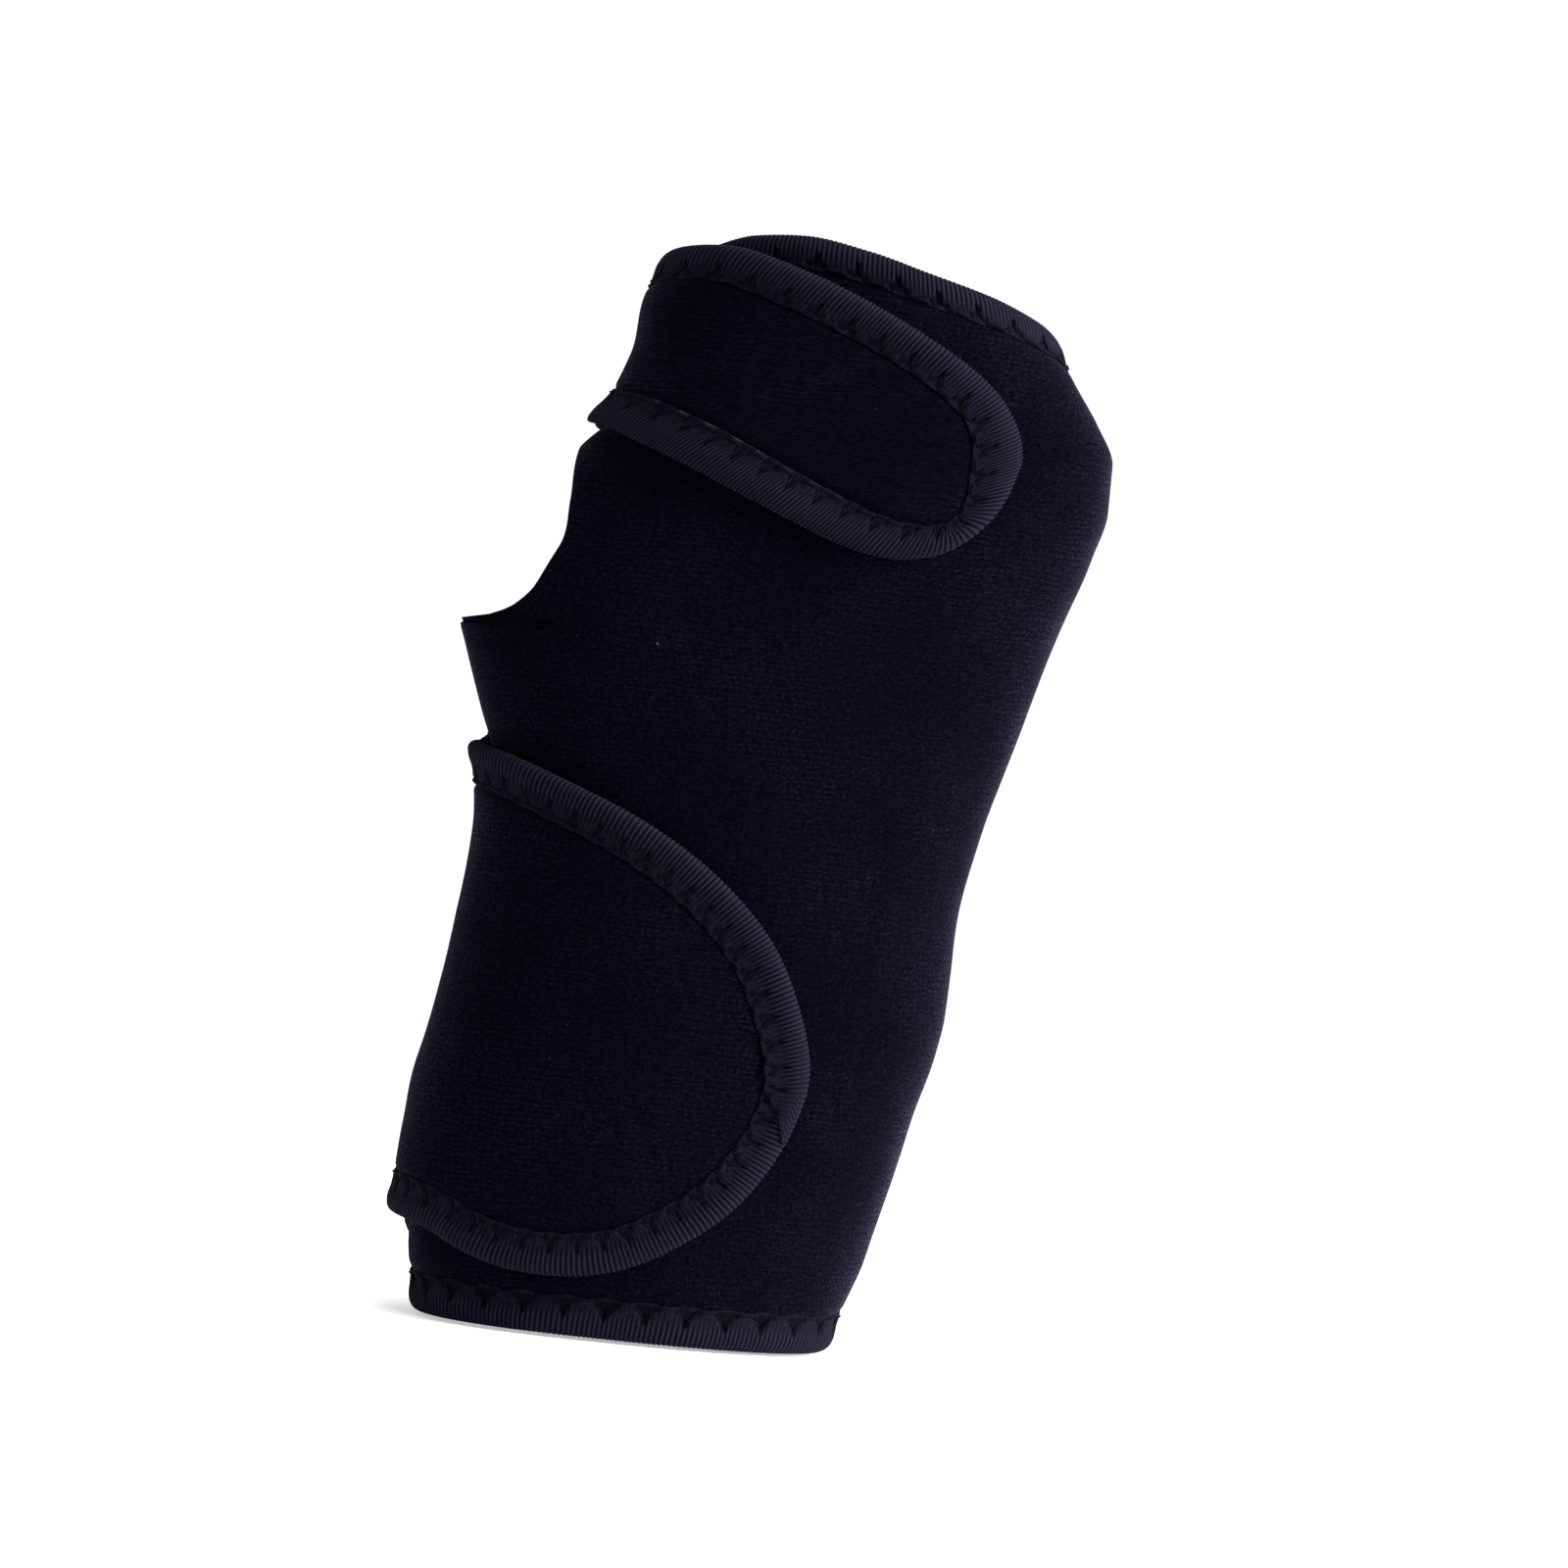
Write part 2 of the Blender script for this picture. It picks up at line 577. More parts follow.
def brushed_metal():
    """Mill-finish bar: long drawing lines, light handling scratches, dulled patches."""
    mat = Nodes("mill_aluminium")
    bar = mat.new("ShaderNodeVectorRotate", {"Vector": mat.place(), "Angle": -STAY_LEAN},
                  rotation_type="Y_AXIS").outputs[0]
    lines = mat.noise(bar, stretch=(2600.0, 2600.0, 18.0), detail=3.0, rough=0.6)
    patch = mat.noise(bar, stretch=(90.0, 90.0, 45.0), detail=3.0, rough=0.6)
    scratch = mat.span(mat.noise(bar, stretch=(500.0, 500.0, 90.0), detail=1.0, distortion=2.5),
                       over=(0.64, 0.67))
    mat.bump(mat.math("ADD", lines, mat.times(scratch, by=-0.6)),
             distance=0.00003, strength=0.6)
    colour = mat.blend(mat.span(patch, over=(0.35, 0.7)),
                       (0.56, 0.565, 0.58), (0.44, 0.445, 0.455))
    rough = mat.math("ADD", mat.span(patch, over=(0.3, 0.7), to=(0.26, 0.44)),
                     mat.times(scratch, by=0.12))
    return mat.set(Base_Color=colour, Metallic=1.0, Roughness=rough)


def vinyl():
    """Dipped soft vinyl: satin, with small runs and dust."""
    mat = Nodes("dipped_vinyl")
    place = mat.place()
    runs = mat.noise(place, scale=260.0)
    fine = mat.noise(place, scale=2400.0, detail=3.0, rough=0.6)
    mat.bump(mat.times_add(runs, by=0.85, add=mat.times(fine, by=0.15)),
             distance=0.0004, strength=0.5)
    colour = mat.blend(mat.span(fine, over=(0.4, 0.7)),
                       (0.020, 0.020, 0.023), (0.040, 0.040, 0.045))
    return mat.set(Base_Color=colour, Specular_IOR_Level=0.5,
                   Roughness=mat.span(fine, over=(0.35, 0.7), to=(0.36, 0.52)))


KNIT, TAPE, YARN, JERSEY = loop_knit(), rib_tape(), yarn(), jersey()
FOAM, HOOKS, METAL, VINYL = foam(), hook_tape(), brushed_metal(), vinyl()


# ----------------------------------------------------------------------------- meshes
def outward(verts, faces):
    """Quads of a closed mesh, turned to face outwards."""
    one, two, three, four = (verts[faces[:, k]] for k in range(4))
    volume = (np.einsum("ij,ij->", one, np.cross(two, three))
              + np.einsum("ij,ij->", one, np.cross(three, four)))
    return faces[:, ::-1] if volume < 0 else faces


def to_metres(points):
    return (np.asarray(points, float) - CENTRE) * MM


def build(name, verts, faces, coords, mats, index=None, weld=False):
    """A mesh object from points in mm, quads and procedural coordinates."""
    verts = to_metres(verts).reshape(-1, 3)
    faces = outward(verts, np.asarray(faces, np.int64))
    mesh = bpy.data.meshes.new(name)
    mesh.vertices.add(len(verts))
    mesh.vertices.foreach_set("co", verts.astype(np.float32).ravel())
    mesh.loops.add(faces.size)
    mesh.loops.foreach_set("vertex_index", np.ascontiguousarray(faces, np.int32).ravel())
    mesh.polygons.add(len(faces))
    mesh.polygons.foreach_set("loop_start", np.arange(0, faces.size, 4, dtype=np.int32))
    cloth = mesh.attributes.new("cloth", "FLOAT_VECTOR", "POINT")
    cloth.data.foreach_set("vector", np.asarray(coords, np.float32).ravel())
    for mat in mats:
        mesh.materials.append(mat)
    if index is not None:
        mesh.polygons.foreach_set("material_index", np.asarray(index, np.int32))
    mesh.update(calc_edges=True)
    mesh.validate()
    # the cut edge, slot 2, stays flat
    slots = np.zeros(len(mesh.polygons), np.int32)
    mesh.polygons.foreach_get("material_index", slots)
    mesh.polygons.foreach_set("use_smooth", slots != 2)
    if weld:
        edit = bmesh.new()
        edit.from_mesh(mesh)
        bmesh.ops.remove_doubles(edit, verts=edit.verts, dist=2e-6)
        bmesh.ops.dissolve_degenerate(edit, dist=1e-6, edges=edit.edges)
        edit.to_mesh(mesh)
        edit.free()
    piece = bpy.data.objects.new(name, mesh)
    bpy.context.scene.collection.objects.link(piece)
    return piece


def patch_faces(rows, cols, base=0):
    i, j = np.meshgrid(np.arange(rows - 1), np.arange(cols - 1), indexing="ij")
    at = base + i * cols + j
    return np.stack([at, at + cols, at + cols + 1, at + 1], -1).reshape(-1, 4)


def sheet_faces(rows, cols):
    """Quads of a closed sheet between two grids: outer face, inner face and cut edge."""
    rim = np.array([i * cols for i in range(rows)]
                   + [(rows - 1) * cols + j for j in range(1, cols)]
                   + [i * cols + cols - 1 for i in range(rows - 2, -1, -1)]
                   + list(range(cols - 2, 0, -1)))
    after, size = np.roll(rim, -1), rows * cols
    return (patch_faces(rows, cols), patch_faces(rows, cols, size)[:, ::-1],
            np.stack([rim, rim + size, after + size, after], -1))


def tube_faces(rings, sides):
    i, j = np.meshgrid(np.arange(rings - 1), np.arange(sides), indexing="ij")
    k = (j + 1) % sides
    return np.stack([i * sides + j, i * sides + k, (i + 1) * sides + k, (i + 1) * sides + j],
                    -1).reshape(-1, 4)


def both(outer, inner):
    return np.concatenate([outer.reshape(-1, 3), inner.reshape(-1, 3)])


def closed_sheet(name, outer, inner, coords, mats, weld=False):
    """A closed sheet between two grids; mats are outer face, inner face and cut edge."""
    faces = sheet_faces(*outer.shape[:2])
    index = np.repeat([0, 1, 2], [len(part) for part in faces])
    return build(name, both(outer, inner), np.concatenate(faces),
                 both(coords, coords + [0, 0, 5.0]), mats, index, weld)


def tube(name, points, radius, sides=6):
    """A round thread through points, narrowed at both ends."""
    count = len(points)
    heading = unit(np.gradient(points, axis=0), 1e-12)
    side = unit(np.cross(heading, np.array([0.31, -0.87, 0.38])), 1e-12)
    other = np.cross(heading, side)
    angle = np.linspace(0, 2 * math.pi, sides, endpoint=False)[None, :, None]
    radii = np.full(count, radius)
    radii[0] = radii[-1] = radius * 0.35
    rings = points[:, None] + radii[:, None, None] * (np.cos(angle) * side[:, None]
                                                      + np.sin(angle) * other[:, None])
    dist = distances(points)
    coords = np.stack([np.repeat(dist, sides), np.tile(np.arange(sides) / sides, count),
                       np.zeros(count * sides)], -1)
    ends = []
    for base, tip in ((0, count * sides), ((count - 1) * sides, count * sides + 1)):
        for j in range(0, sides, 2):
            quad = [tip, base + j, base + (j + 1) % sides, base + (j + 2) % sides]
            ends.append(quad if base else quad[::-1])
    return build(name, np.concatenate([rings.reshape(-1, 3), points[:1], points[-1:]]),
                 np.concatenate([tube_faces(count, sides), np.array(ends)]),
                 np.concatenate([coords, [[0, 0, 0], [dist[-1], 0, 0]]]), [YARN])


def ride_wrap(piece, node=None):
    """Carries a piece with the wrap; it stands in for the CAD node, if one is given."""
    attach(piece, "wrap")
    if node:
        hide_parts(node)


# ----------------------------------------------------------------------------- folded tape
COMPRESS = 0.60          # how far the stitched tape sinks into the sheet
RIB_PITCH, RIB_H = 0.86, 0.17
PUFF = 0.62
ROUND = 1.15             # the fold starts to turn this far in from the sheet's edge


def sunk(inset, leg):
    return COMPRESS * ease(inset, leg + 1.3, leg - 0.5)


def tape_top(inset, leg):
    """Height of the outer leg over the sheet's inner face."""
    return SHEET_T - sunk(inset, leg) + PUFF + 0.54 * np.exp(-((inset - 1.6) / 1.8) ** 2)


def tape_section(leg):
    """Outlines of folded tape, as insets from the sheet's edge and heights over its inner face.

    Returns the outer outline, its normals, the inner outline, and each point's share, 0 to 1,
    of the outer leg.
    """
    leg_in = np.concatenate([np.linspace(ROUND, leg - 0.5, 12), [leg - 0.18, leg - 0.03]])
    leg_up = tape_top(leg_in, leg)
    leg_up[-2:] -= [0.05, 0.20]
    under_in = [leg - 0.6, leg * 0.5, ROUND]
    angle = np.linspace(-math.pi / 2, math.pi / 2, 11)[1:-1]
    out, rise = (signed_power(wave(angle), 2 / 2.2) for wave in (np.cos, np.sin))
    mid, half = (leg_up[0] - 0.72) / 2, (leg_up[0] + 0.72) / 2
    outer_in = np.concatenate([under_in, ROUND - (ROUND + LIP) * out, leg_in])
    outer_up = np.concatenate([[-0.55, -0.68, -0.72], mid + half * rise, leg_up])
    inner_in = np.concatenate([under_in, ROUND - (ROUND + 0.2) * out, leg_in])
    inner_up = np.concatenate([[-0.06, -0.06, -0.08], 1.1 + 1.2 * rise,
                               SHEET_T - sunk(leg_in, leg) + 0.04])
    inner_up[-1] += 0.04
    share = np.concatenate([np.zeros(3), np.linspace(0, 1, 9), np.ones(len(leg_in))])
    step_in, step_up = np.gradient(outer_in), np.gradient(outer_up)
    size = np.hypot(step_in, step_up)
    return outer_in, outer_up, -step_up / size, step_in / size, inner_in, inner_up, share


def none(*_):
    return 0.0


class Tape:
    """One folded tape along a line, with a zigzag of stitches.

    chart(along, inset) gives (arc, z); inner(arc, z) is the height of the sheet's inner face.
    apex is the stitches' distance from the fold, spread their half width as a share of pitch,
    first the place of one stitch and depth the strength of the hollows. raise_by, skew and
    widen change the tape's height, slant and width along it; taper thins its end.
    """

    def __init__(self, chart, length, width, inner, pitch, apex, first, spread, depth=1.0,
                 start=0.0, raise_by=none, skew=none, widen=none, taper=0.0, step=0.172):
        self.chart, self.length, self.inner, self.pitch = chart, length, inner, pitch
        self.leg, self.apex, self.first = width - LIP, apex - LIP, first
        self.far, self.spread, self.depth = self.leg - 0.55, spread * pitch, depth
        self.start, self.raise_by, self.skew, self.widen = start, raise_by, skew, widen
        self.taper, self.step = taper, step

    def stitch(self, along):
        """Offset from the nearest stitch, and its number."""
        number = np.round((along - self.first) / self.pitch)
        return along - self.first - number * self.pitch, number

    def dent(self, along, inset):
        """Depth of the stitched hollows."""
        offset, number = self.stitch(along)
        jitter = 1 + 0.16 * np.sin(number * 2.4 + 0.7)
        grow = np.clip((inset - self.apex) / (self.far - self.apex), 0, 1)
        half = 0.10 + self.spread * jitter * grow ** 0.85
        inside = ease(half + 0.30 - np.abs(offset), 0.0, 0.62)
        fade = (ease(inset, self.apex - 0.45, self.apex + 0.35) * (1 - 0.42 * grow)
                * ease(inset, self.leg - 0.05, self.leg - 0.75))
        hole = 0.50 * np.exp(-((offset / 0.46) ** 2 + ((inset - self.apex - 0.05) / 0.52) ** 2))
        hole = hole + 0.42 * np.exp(-(((np.abs(offset) - self.spread) / 0.44) ** 2
                                      + ((inset - self.far + 0.35) / 0.5) ** 2))
        puff = (-0.10 * (1 - inside) * ease(inset, self.apex - 0.4, self.apex + 1.0)
                * ease(inset, self.leg, self.leg - 1.2))
        return ((0.62 + 0.06 * np.sin(number * 1.7)) * inside * fade + puff) * self.depth + hole

    def ribs(self, along, inset):
        """The cross ribs' wave, and its weight."""
        weight = 1 - 0.62 * ease(inset, self.apex - 0.6, self.apex + 1.4)
        at = along + 0.22 * np.sin(along * 0.31)
        return np.abs(np.cos(math.pi * at / RIB_PITCH)) ** 1.3, weight

    def make(self, name):
        count = int(self.length / self.step) + 1
        sec_in, sec_up, norm_in, norm_up, inner_in, inner_up, share = tape_section(self.leg)
        inset = np.tile(sec_in, (count, 1))
        along = np.repeat(np.linspace(0, self.length, count)[:, None], len(sec_in), 1)
        along = along + self.skew(along, np.clip(inset, 0, self.leg) / self.leg)
        offset, _ = self.stitch(along)
        scallop = (0.20 * self.depth * np.cos(2 * math.pi * offset / self.pitch)
                   * ease(inset, self.apex, self.leg) * share)
        wave, weight = self.ribs(along, inset)
        rib = RIB_H * (wave - 0.55) * weight
        dent = self.dent(along, inset) * share * (inset > 0)
        move = rib - np.minimum(dent, np.maximum(sec_up - inner_up - 0.10, 0.0))
        widen = np.where(inset > 0, 1.0 + self.widen(along), 1.0)
        outer_in = (inset + scallop + norm_in * rib) * widen
        outer_up = sec_up + norm_up * np.where(share > 0, move, rib * 0.5)
        inner_in = (inner_in + scallop) * widen
        full = ease(self.length - along, -0.8, self.taper) if self.taper else 1.0
        keep = 0.10 + 0.90 * full
        outer_in = inner_in + (outer_in - inner_in) * keep
        outer_up = inner_up + (outer_up - inner_up) * keep
        raised = self.raise_by(along) * share
        rings = []
        for place, height in ((outer_in, outer_up), (inner_in, inner_up)):
            base = self.inner(*self.chart(along, np.maximum(place, 0)))
            rings.append(skin(*self.chart(along, place), base + (height + raised)))
        sides = 2 * len(sec_in)
        j = np.arange(len(sec_in) - 1)
        cap = np.stack([j, sides - 1 - j, sides - 2 - j, j + 1], -1)
        faces = [tube_faces(count, sides), cap, cap[:, ::-1] + (count - 1) * sides]
        shade = np.clip((wave * weight + 0.85 * (1 - weight))
                        * (1 - 1.35 * np.clip(dent, 0, 0.7)), 0, 1)
        coords = [np.stack([along + self.start, inset, tone], -1) for tone in (shade, wave * 0.4)]
        ring, coords = (np.concatenate([outer, inner[:, ::-1]], 1)
                        for outer, inner in (rings, coords))
        return build(name, ring, np.concatenate(faces), coords, [TAPE])

    def thread(self, name, margin=1.2, until=None):
        """The zigzag: down to the apex of each hollow, up, and along to the next."""
        until = self.length - margin if until is None else until
        half = self.spread * 0.98
        corners = []
        for k in range(-1, int(self.length / self.pitch) + 3):
            middle = self.first + k * self.pitch
            if margin < middle < until:
                corners += [(middle - half, self.far), (middle, self.apex),
                            (middle + half, self.far)]
        corners = np.array([corner for corner in corners
                            if margin * 0.5 < corner[0] < self.length - margin * 0.5])
        points = []
        for here, there in zip(corners[:-1], corners[1:]):
            for part in np.linspace(0, 1, 7)[:-1]:
                bow = 0.14 * math.sin(math.pi * part)
                points.append((*(here + (there - here) * part), bow))
        along, inset, bow = np.array(points + [(*corners[-1], 0.0)]).T
        arc, z = self.chart(along, inset)
        height = tape_top(inset, self.leg) - np.minimum(self.dent(along, inset), 0.8)
        height = self.inner(arc, z) + height + self.raise_by(along) + (0.04 + bow * 0.6)
        return tube(name, skin(arc, z, height), 0.19)


def line_chart(path):
    """A chart along a line in (arc, z), inset to its right.

    Returns the chart, the line's length, the smoothed line and its rightward normals.
    """
    dist = distances(path)
    length = float(dist[-1])
    at = np.linspace(0, length, int(length / 0.35) + 1)
    line = sample(at, dist, path)
    weights = np.hanning(11)
    weights /= weights.sum()
    line = np.concatenate([2 * line[0] - line[5:0:-1], line, 2 * line[-1] - line[-2:-7:-1]])
    line = np.stack([np.convolve(column, weights, "valid") for column in line.T], 1)
    heading = unit(np.gradient(line, axis=0))
    right = right_of(heading)

    def chart(along, inset):
        over = along - np.clip(along, 0, length)
        place = sample(along, at, line) + over[..., None] * sample(along, at, heading)
        place = place + np.asarray(inset)[..., None] * sample(along, at, right)
        return place[..., 0], place[..., 1]

    return chart, length, line, right


# ----------------------------------------------------------------------------- the wrap
def edge_drop(line, drops):
    """Fall of a sheet's face on the three lines nearest its edge."""
    return np.select([line == k for k in range(3)], drops, 0.0)


def wrap_panel(cols=236, rows=206):
    across = np.concatenate([[0, 0.0009, 0.0026], np.linspace(0.006, 0.9985, cols - 4), [1.0]])
    across, row = np.meshgrid(across, np.linspace(LIP, HAND_EDGE, rows), indexing="ij")
    arc, z = wrap_point(across, row)
    lift = wrap_lift(arc, z)
    slope = np.gradient(palm_edge(Z_ROWS), Z_ROWS)
    from_palm = (palm_edge(z) - arc) / np.hypot(1.0, np.interp(z, Z_ROWS, slope))
    beside_palm = ease(z, 100.4, 101.6) * ease(z, 161.5, 160.2)
    sink = np.maximum(sunk(row - LIP, W_FOREARM_RIM - LIP),
                      sunk(HAND_EDGE - row, W_FINGER_RIM - LIP))
    sink = np.maximum(sink, sunk(from_palm, W_PALM_EDGE - LIP) * beside_palm)
    cut = edge_drop(np.arange(cols), [0.8, 0.3, 0.07])[:, None]
    return closed_sheet("wrap_panel", skin(arc, z, lift - sink - cut),
                        skin(arc, z, lift - SHEET_T + cut),
                        np.stack([arc, z, np.zeros_like(arc)], -1), [KNIT, JERSEY, FOAM])


def rim_tape(row, inward, width, **stitching):
    """Tape round one of the wrap's two openings, in the wrap's own chart."""
    across = np.linspace(0, 1, 4000)
    dist = distances(on_wrap(*wrap_point(across, row)))

    def chart(along, inset):
        return wrap_point(np.interp(along, dist, across), row, inward * inset)

    return Tape(chart, dist[-1], width, wrap_inner, step=0.18, **stitching)


def palm_edge_tape():
    """Tape on the palm panel's thumb edge, from the strap's corner to the flap's corner."""
    z = np.linspace(159.0, 102.2, 70)
    at_strap, at_flap = wrap_end(160.0), wrap_end(101.4)
    path = np.concatenate([[(at_strap + 1.2, 159.66), (at_strap + 0.2, 159.66)],
                           np.stack([palm_edge(z), z], 1),
                           [(at_flap + 0.1, 101.36), (at_flap + 1.1, 101.32)]])
    chart, length, _, _ = line_chart(rounded(path, 0.4, 2))
    return Tape(chart, length, W_PALM_EDGE, wrap_inner, pitch=6.0, apex=3.4, first=2.6,
                spread=0.24, depth=0.6,
                widen=lambda along: 0.17 * ease(along, length - 9.0, length - 1.0))


def bind_wrap(tape, name, node):
    ride_wrap(tape.make(name), node + "_binding")
    ride_wrap(tape.thread(name + "_thread"), node + "_stitching")


ride_wrap(wrap_panel(), "body_wrap")
bind_wrap(rim_tape(LIP, 1, W_FOREARM_RIM, pitch=7.0, apex=3.7, first=3.0, spread=0.27),
          "forearm_rim_tape", "forearm_opening")
bind_wrap(rim_tape(HAND_EDGE, -1, W_FINGER_RIM, pitch=7.2, apex=3.2, first=1.0, spread=0.2,
                   depth=0.75), "hand_rim_tape", "hand_opening")
bind_wrap(palm_edge_tape(), "palm_edge_tape", "palmar_edge")


# ----------------------------------------------------------------------------- closures
def sheet_edge(edge_xz, root, top, bottom, inner):
    """The closure's sheet edge in (arc, z), from its root's top round to its root's bottom."""
    outline = [(root - SLIT, top), (root + 1.0, top), (root + 4.0, top + 0.02)]
    for x, z in edge_xz:
        arc = 30.0
        for _ in range(4):
            arc = arc_at_x(x, z, float(inner(arc, z) + SHEET_T) + LIP)
        outline.append((arc, z))
    outline += [(root + 4.0, bottom + 0.02), (root + 1.0, bottom), (root - SLIT, bottom)]
    outer = rounded(outline, 0.35, 4)
    edge = outer + LIP * right_of(unit(np.gradient(outer, axis=0)))
    edge[0, 0] = edge[-1, 0] = root - SLIT
    return edge


def closure(prefix, node, edge, root, width, inner, hook_from, rows, lines):
    """Panel and hook strip; returns the edge's chart and length, and (piece, node, slot)s."""
    chart, length, line, right = line_chart(edge)
    leg = width - LIP
    dist = distances(line)
    at = np.linspace(0, dist[-1], lines)
    path, across = sample(at, dist, line), sample(at, dist, right)
    across[0], across[-1] = (0, -1), (0, 1)
    # rows of the grid run from the root to the tape's leg, then on to the edge
    ring = path + leg * across
    foot = np.stack([np.full(lines, root - SLIT),
                     ring[0, 1] + (ring[-1, 1] - ring[0, 1]) * (at / at[-1])], 1)
    part = (np.linspace(0, 1, rows) ** 1.05)[:, None, None]
    tail = np.linspace(0, 1, 8)[1:, None, None]
    grid = np.concatenate([foot * (1 - part) + ring * part, ring * (1 - tail) + path * tail])
    arc, z = grid[..., 0].T, grid[..., 1].T
    inset = np.full(arc.shape, 1e9)
    for chunk in np.array_split(line, max(1, len(line) // 60)):
        away = np.hypot(arc[..., None] - chunk[:, 0], z[..., None] - chunk[:, 1])
        inset = np.minimum(inset, away.min(-1))
    panel = closed_sheet(prefix + "_panel", skin(arc, z, inner(arc, z) + SHEET_T - sunk(inset, leg)),
                         skin(arc, z, inner(arc, z)),
                         np.stack([arc + girth(z), z, np.zeros_like(arc)], -1),
                         [KNIT, JERSEY, FOAM], weld=True)
    strip = hook_strip(prefix + "_hooks", path + (width + 1.4) * across, hook_from, inner)
    return chart, length, [(panel, node, "loop_knit_neoprene"),
                           (strip, node + "_hook_patch", "hook_fastener")]


def hook_strip(name, outline, first, inner):
    """Hook strip on a closure's inner face, from arc first out to the outline's tip."""
    tip = int(np.argmax(outline[:, 0]))
    cols = first + (outline[tip, 0] - 0.6 - first) * np.sin(np.linspace(0, 1, 40) * math.pi / 2)
    high, low = (np.interp(cols, np.maximum.accumulate(side[:, 0]), side[:, 1])
                 for side in (outline[:tip + 1], outline[tip:][::-1]))
    arc = np.tile(cols, (40, 1))
    z = low[None] + (high - low)[None] * np.linspace(0, 1, 40)[:, None]
    base = inner(arc, z)
    verts = both(skin(arc, z, base - 0.04), skin(arc, z, base - 0.45))
    faces = outward(verts, np.concatenate(sheet_faces(*arc.shape)))
    coords = np.stack([arc, z, np.zeros_like(arc)], -1)
    hook_verts, hook_faces, hook_coords = hooks(cols, low, high, inner)
    return build(name, np.concatenate([verts, hook_verts]),
                 np.concatenate([faces, hook_faces + len(verts)]),
                 np.concatenate([both(coords, coords), hook_coords]), [HOOKS])


HOOK_PITCH = 1.45
# rings of a hook from root to tip: (stand-off, reach along z, half width)
HOOK_RINGS = [(0.0, 0.0, 0.26), (0.30, 0.03, 0.17), (0.52, 0.16, 0.14), (0.50, 0.40, 0.11),
              (0.36, 0.52, 0.05)]


def hooks(cols, low, high, inner):
    """Rows of small bent hooks standing off the strip towards the wrap."""
    places = []
    row = 0
    arc = cols[0] + 1.2
    while arc < cols[-1] - 1.0:
        z = np.interp(arc, cols, low) + 1.2 + (row % 2) * HOOK_PITCH / 2
        end = np.interp(arc, cols, high) - 1.2
        while z < end:
            places.append((arc, z, 1.0 if row % 2 else -1.0))
            z += HOOK_PITCH
        arc += HOOK_PITCH * 0.9
        row += 1
    arc, z, turn = np.array(places).T
    base = inner(arc, z) - 0.43
    rings = [skin(arc + i * half, z + j * half * 0.8 + turn * reach, base - off)
             for off, reach, half in HOOK_RINGS
             for i, j in ((-1, -1), (1, -1), (1, 1), (-1, 1))]
    verts = np.stack(rings, 1)
    faces = outward(verts[0], np.concatenate([tube_faces(5, 4), [[3, 2, 1, 0], [16, 17, 18, 19]]]))
    faces = (faces[None] + 20 * np.arange(len(arc))[:, None, None]).reshape(-1, 4)
    tall = np.repeat([0.1, 0.5, 0.9, 1.0, 1.0], 4)
    coords = np.stack([np.repeat(arc, 20), np.repeat(z, 20), np.tile(tall, len(arc))], -1)
    return verts.reshape(-1, 3), faces, coords


def blend_closure(pieces, root, reach, top, bottom):
    """Turns the pieces from the wrap to the closure's body over reach from the root."""
    start, end = (tuple(to_metres(on_wrap(arc, (top + bottom) / 2, 4.0)))
                  for arc in (root, root + reach))
    for piece, node, slot in pieces:
        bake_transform(piece)
        if node:
            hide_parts(node)


def forearm_flap():
    """The flap's edge has two lengths of tape that lap near its tip."""
    def inner(arc, z):
        return LAYER + 0.0 * np.asarray(arc, float)

    edge = sheet_edge(FLAP_EDGE, FLAP_ROOT, FLAP_TOP, FLAP_BOTTOM, inner)
    chart, length, pieces = closure("flap", "forearm_flap", edge, FLAP_ROOT, W_FLAP, inner,
                                    hook_from=33.0, rows=92, lines=250)
    along = np.linspace(0, length, 800)
    arc, z = chart(along, 0.0)
    off_tip = on_wrap(arc, z, 4.0)[:, 0] < 15.0
    lap = float(along[np.argmin(np.abs(z - 46.5) + 100.0 * off_tip)])
    stitching = dict(pitch=4.9, apex=4.3, spread=0.24, depth=0.55)
    upper = Tape(chart, lap, W_FLAP, inner, first=2.0, **stitching,
                 raise_by=lambda along: 0.62 * ease(along, lap - 16, lap - 5),
                 skew=lambda along, share: 9.5 * (1 - share) * ease(along, lap - 16, lap))
    pieces.append((upper.make("flap_tape_upper"), "forearm_flap_binding", "binding_tape"))
    pieces.append((upper.thread("flap_tape_upper_thread", until=lap - 1.5),
                   "forearm_flap_stitching", "thread"))
    start = lap - 2.5
    lower = Tape(lambda along, inset: chart(along + start, inset), length - start, W_FLAP,
                 inner, first=4.0, start=start, taper=4.5, **stitching)
    pieces.append((lower.make("flap_tape_lower"), None, "binding_tape"))
    pieces.append((lower.thread("flap_tape_lower_thread", margin=4.4), None, "thread"))
    blend_closure(pieces, FLAP_ROOT, 13.0, FLAP_TOP, FLAP_BOTTOM)


def hand_strap():
    def inner(arc, z):
        return LAYER + rim_lift(np.asarray(arc, float), np.asarray(z, float))

    edge = sheet_edge(STRAP_EDGE, STRAP_ROOT, STRAP_TOP, STRAP_BOTTOM, inner)
    chart, length, pieces = closure("strap", "hand_strap", edge, STRAP_ROOT, W_STRAP, inner,
                                    hook_from=30.0, rows=96, lines=190)
    tape = Tape(chart, length, W_STRAP, inner, pitch=6.6, apex=3.7, first=3.0, spread=0.22,
                depth=0.55)
    pieces.append((tape.make("strap_tape"), "hand_strap_binding", "binding_tape"))
    pieces.append((tape.thread("strap_tape_thread"), "hand_strap_stitching", "thread"))
    blend_closure(pieces, STRAP_ROOT, 12.0, STRAP_TOP, STRAP_BOTTOM)


forearm_flap()
hand_strap()

